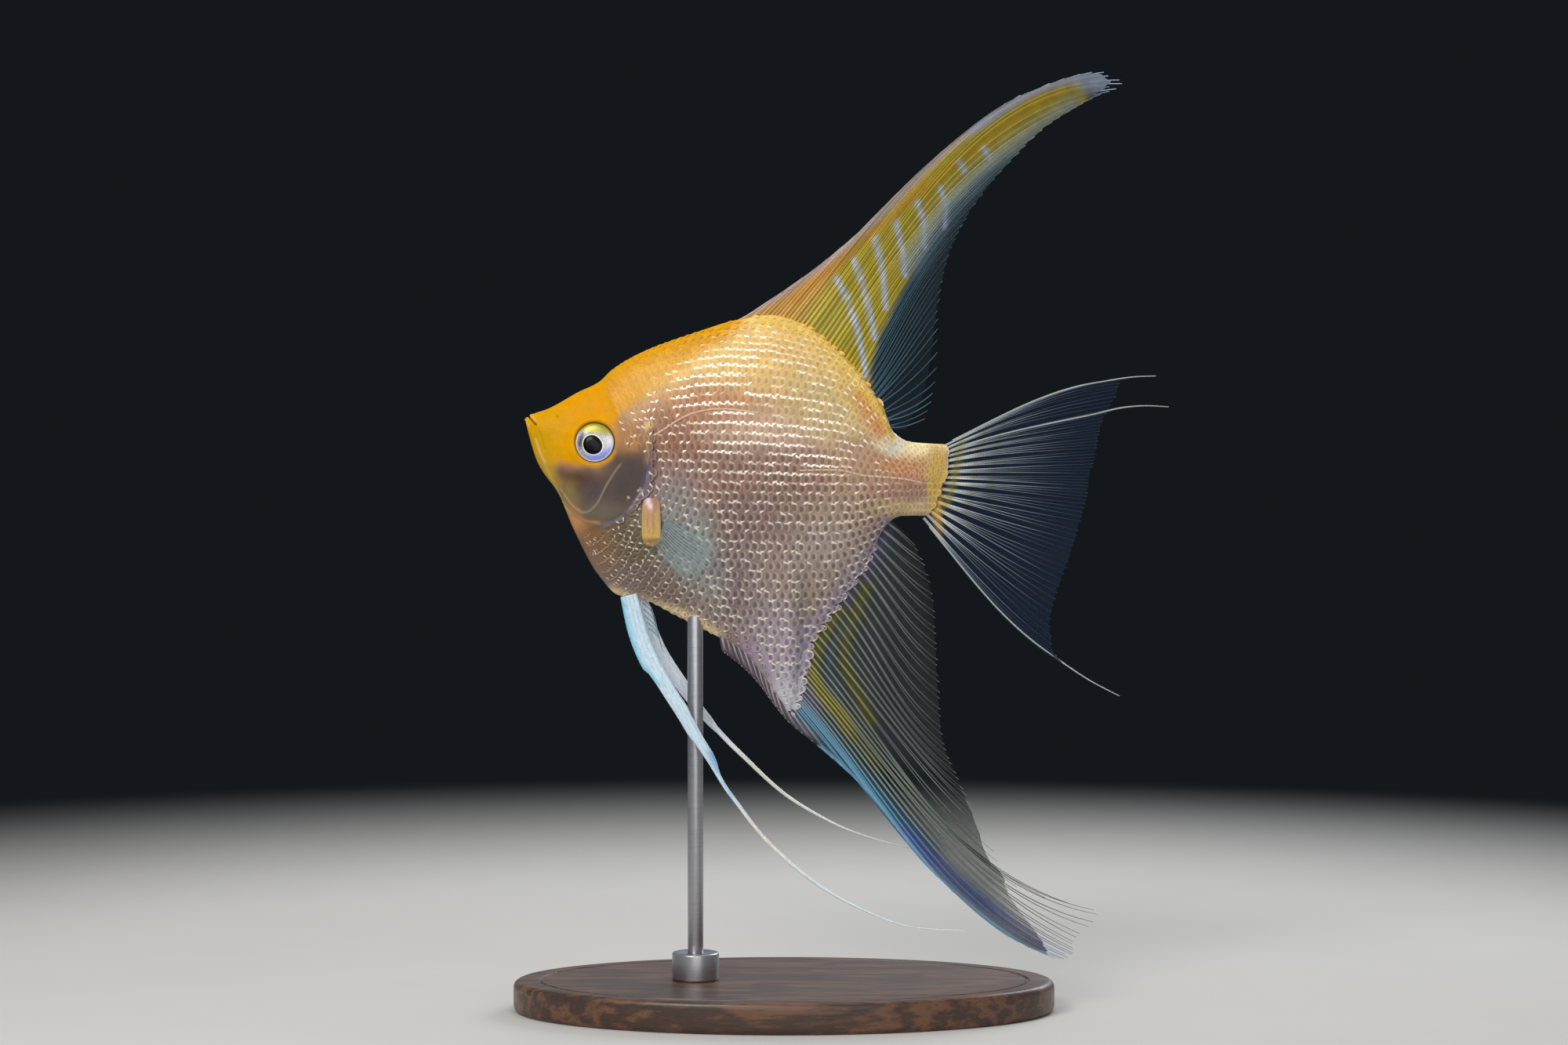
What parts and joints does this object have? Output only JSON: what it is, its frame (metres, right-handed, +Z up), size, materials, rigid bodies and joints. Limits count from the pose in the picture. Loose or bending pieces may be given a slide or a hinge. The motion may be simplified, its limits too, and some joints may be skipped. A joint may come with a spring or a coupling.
{
  "type": "freshwater angelfish model",
  "caption": "Life-size still model of a freshwater angelfish (Pterophyllum scalare), golden-orange with tall fins, on an oval wooden base with a short steel rod.",
  "frame": {"origin": "centre of the oval stand base, on its flat underside", "axes": "+Z up, +X from the snout to the tail, the fish's left flank faces -Y; its middle plane is y = 0"},
  "size_m": [0.1256, 0.06, 0.1799],
  "materials": {
    "head_skin": "satin painted skin, saturated orange-yellow",
    "gill_plate": "glossy blue-grey plate with a pale edge",
    "flank_scales": "satin overlapping scales, silver-mauve with pale rims",
    "eyes": "clear domed eye with a silver iris and black pupil",
    "fin_web": "thin translucent web between soft rays",
    "pelvic_rays": "ice-blue to white hardened rays",
    "base_wood": "dark stained and waxed hardwood",
    "stand_steel": "brushed"
  },
  "bodies": {
    "root": {"head": "head_skin", "jaw": "head_skin", "gill_cover_left": "gill_plate", "gill_cover_right": "gill_plate", "trunk": "flank_scales", "tail_stalk": "head_skin", "eye_left": "eyes", "eye_right": "eyes", "dorsal_fin": "fin_web", "anal_fin": "fin_web", "caudal_fin": "fin_web", "pectoral_fin_left": "fin_web", "pectoral_fin_right": "fin_web", "pelvic_fin_left": "pelvic_rays", "pelvic_fin_right": "pelvic_rays", "pelvic_thread_upper_left": "pelvic_rays", "pelvic_thread_upper_right": "pelvic_rays", "pelvic_thread_lower_left": "pelvic_rays", "pelvic_thread_lower_right": "pelvic_rays", "stand_base": "base_wood", "stand_collar": "stand_steel", "stand_rod": "stand_steel"}
  },
  "joints": []
}
